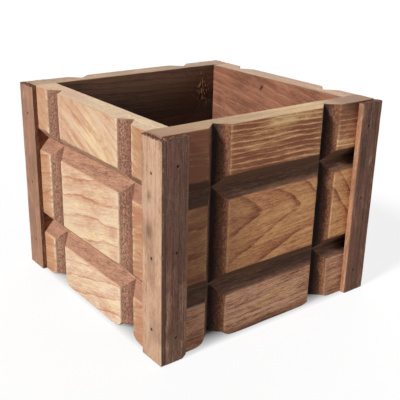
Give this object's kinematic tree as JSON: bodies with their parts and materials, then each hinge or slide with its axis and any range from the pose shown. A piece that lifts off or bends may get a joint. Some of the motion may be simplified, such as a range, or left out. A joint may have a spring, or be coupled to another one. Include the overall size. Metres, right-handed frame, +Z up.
{
  "type": "planter box",
  "caption": "Square open timber planter with thick stacked boards, V-grooved raised panels, lapped corner battens and a slatted draining floor.",
  "frame": {"origin": "centre of the footprint at ground level", "axes": "+Z up, the front wall faces -Y, +X to the right seen from the front"},
  "size_m": [0.4, 0.4, 0.315],
  "materials": {
    "wall_boards": "brushed, scorched and oiled softwood",
    "battens": "sawn, stained softwood",
    "floor_timber": "sawn, stained softwood",
    "steel_fixings": "dull steel"
  },
  "bodies": {
    "root": {"front_board_bottom": "wall_boards", "front_board_middle": "wall_boards", "front_board_top": "wall_boards", "back_board_bottom": "wall_boards", "back_board_middle": "wall_boards", "back_board_top": "wall_boards", "left_board_bottom": "wall_boards", "left_board_middle": "wall_boards", "left_board_top": "wall_boards", "right_board_bottom": "wall_boards", "right_board_middle": "wall_boards", "right_board_top": "wall_boards", "left_batten_front": "battens", "left_batten_back": "battens", "right_batten_front": "battens", "right_batten_back": "battens", "front_batten_left": "battens", "front_batten_right": "battens", "back_batten_left": "battens", "back_batten_right": "battens", "floor_bearer_front": "floor_timber", "floor_bearer_back": "floor_timber", "floor_slat_1": "floor_timber", "floor_slat_2": "floor_timber", "floor_slat_3": "floor_timber", "floor_slat_4": "floor_timber", "batten_nails": "steel_fixings", "corner_screws": "steel_fixings", "bearer_screws": "steel_fixings", "slat_nails": "steel_fixings"}
  },
  "joints": []
}
